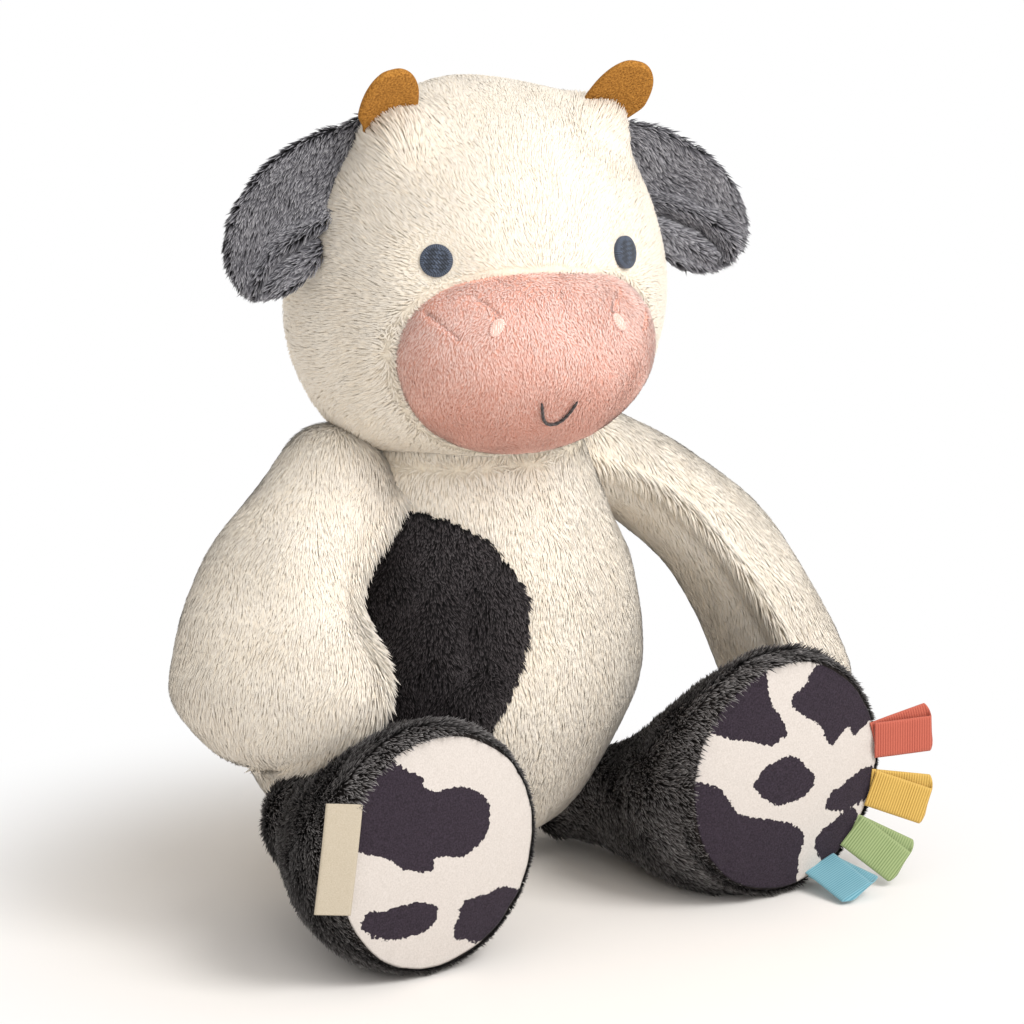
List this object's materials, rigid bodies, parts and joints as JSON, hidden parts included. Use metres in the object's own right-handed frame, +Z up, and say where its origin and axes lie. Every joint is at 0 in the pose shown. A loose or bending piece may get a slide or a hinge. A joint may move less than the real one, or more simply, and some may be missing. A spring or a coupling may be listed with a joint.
{
  "type": "seated plush cow",
  "caption": "Seated stuffed cow toy with turning head, swinging arms and legs, flapping ears and ribbon loops round one foot.",
  "frame": {"origin": "middle of the flat round seat, on the floor", "axes": "+Z up, the toy faces -Y, its own left side is at +X"},
  "size_m": [0.3285, 0.2256, 0.3432],
  "materials": {
    "cream_fur": "long cream pile",
    "charcoal_fur": "charcoal pile with frosted tips",
    "stuffing": "loose polyester fibre",
    "bean_bag_cloth": "woven cotton bag of pellets",
    "pink_plush": "short dense pink pile",
    "eye_stitching": "slate satin stitch",
    "nostril_stitching": "pale pink satin stitch",
    "mouth_thread": "dark twisted thread",
    "horn_felt": "matte mustard felt",
    "gray_fur": "gray frosted pile",
    "sole_plush": "smooth white plush with dark printed patches",
    "ribbon_coral": "ribbed grosgrain",
    "ribbon_mustard": "ribbed grosgrain",
    "ribbon_green": "ribbed grosgrain",
    "ribbon_teal": "ribbed grosgrain",
    "label_cotton": "plain cotton tape"
  },
  "bodies": {
    "root": {"body_skin": "cream_fur", "tummy_patch": "charcoal_fur", "body_stuffing": "stuffing", "seat_bean_bag": "bean_bag_cloth"},
    "head": {"head_skin": "cream_fur", "head_stuffing": "stuffing", "muzzle_skin": "pink_plush", "muzzle_stuffing": "stuffing", "eye_right": "eye_stitching", "eye_left": "eye_stitching", "nostril_right": "nostril_stitching", "nostril_left": "nostril_stitching", "mouth_stitch": "mouth_thread", "horn_right": "horn_felt", "horn_left": "horn_felt"},
    "ear_right": {"ear_front_right": "gray_fur", "ear_back_right": "gray_fur"},
    "ear_left": {"ear_front_left": "gray_fur", "ear_back_left": "gray_fur"},
    "arm_right": {"arm_skin_right": "cream_fur", "arm_stuffing_right": "stuffing"},
    "arm_left": {"arm_skin_left": "cream_fur", "arm_stuffing_left": "stuffing"},
    "leg_right": {"leg_skin_right": "charcoal_fur", "leg_stuffing_right": "stuffing", "sole_right": "sole_plush"},
    "leg_left": {"leg_skin_left": "charcoal_fur", "leg_stuffing_left": "stuffing", "sole_left": "sole_plush"},
    "tag_coral": {"ribbon_coral": "ribbon_coral"},
    "tag_mustard": {"ribbon_mustard": "ribbon_mustard"},
    "tag_green": {"ribbon_green": "ribbon_green"},
    "tag_teal": {"ribbon_teal": "ribbon_teal"},
    "tag_label": {"side_label": "label_cotton"}
  },
  "joints": [
    {"name": "head_turn", "type": "hinge", "parent": "root", "child": "head", "pos_m": [0, -0.02962, 0.187], "axis": [0, 0, 1], "range_deg": [-20, 40]},
    {"name": "ear_flap_right", "type": "hinge", "parent": "head", "child": "ear_right", "pos_m": [-0.05081, -0.02457, 0.30623], "axis": [0.0569, -0.0168, 0.9982], "range_deg": [-20, 35]},
    {"name": "ear_flap_left", "type": "hinge", "parent": "head", "child": "ear_left", "pos_m": [0.05639, -0.05632, 0.29959], "axis": [-0.0569, 0.0168, -0.9982], "range_deg": [-20, 35]},
    {"name": "arm_swing_right", "type": "hinge", "parent": "root", "child": "arm_right", "pos_m": [-0.062, -0.032, 0.168], "axis": [-1, 0, 0], "range_deg": [0, 50]},
    {"name": "arm_swing_left", "type": "hinge", "parent": "root", "child": "arm_left", "pos_m": [0.062, -0.032, 0.168], "axis": [-1, 0, 0], "range_deg": [0, 50]},
    {"name": "leg_swing_right", "type": "hinge", "parent": "root", "child": "leg_right", "pos_m": [-0.077, -0.042, 0.033], "axis": [-1, 0, 0], "range_deg": [-60, 10]},
    {"name": "leg_swing_left", "type": "hinge", "parent": "root", "child": "leg_left", "pos_m": [0.059, -0.027, 0.024], "axis": [-1, 0, 0], "range_deg": [-60, 10]},
    {"name": "ribbon_flap_coral", "type": "hinge", "parent": "leg_left", "child": "tag_coral", "pos_m": [0.12712, -0.13592, 0.05704], "axis": [0.1392, 0, -0.9903], "range_deg": [-10, 30]},
    {"name": "ribbon_flap_mustard", "type": "hinge", "parent": "leg_left", "child": "tag_mustard", "pos_m": [0.12528, -0.1358, 0.03747], "axis": [-0.2924, 0, -0.9563], "range_deg": [-10, 30]},
    {"name": "ribbon_flap_green", "type": "hinge", "parent": "leg_left", "child": "tag_green", "pos_m": [0.11577, -0.13556, 0.02134], "axis": [-0.6561, 0, -0.7547], "range_deg": [-10, 30]},
    {"name": "ribbon_flap_teal", "type": "hinge", "parent": "leg_left", "child": "tag_teal", "pos_m": [0.09991, -0.13471, 0.01047], "axis": [-0.9135, 0, -0.4067], "range_deg": [0, 30]},
    {"name": "label_flap", "type": "hinge", "parent": "leg_right", "child": "tag_label", "pos_m": [-0.13373, -0.12671, 0.05734], "axis": [0.1392, 0, 0.9903], "range_deg": [-5, 60]}
  ]
}
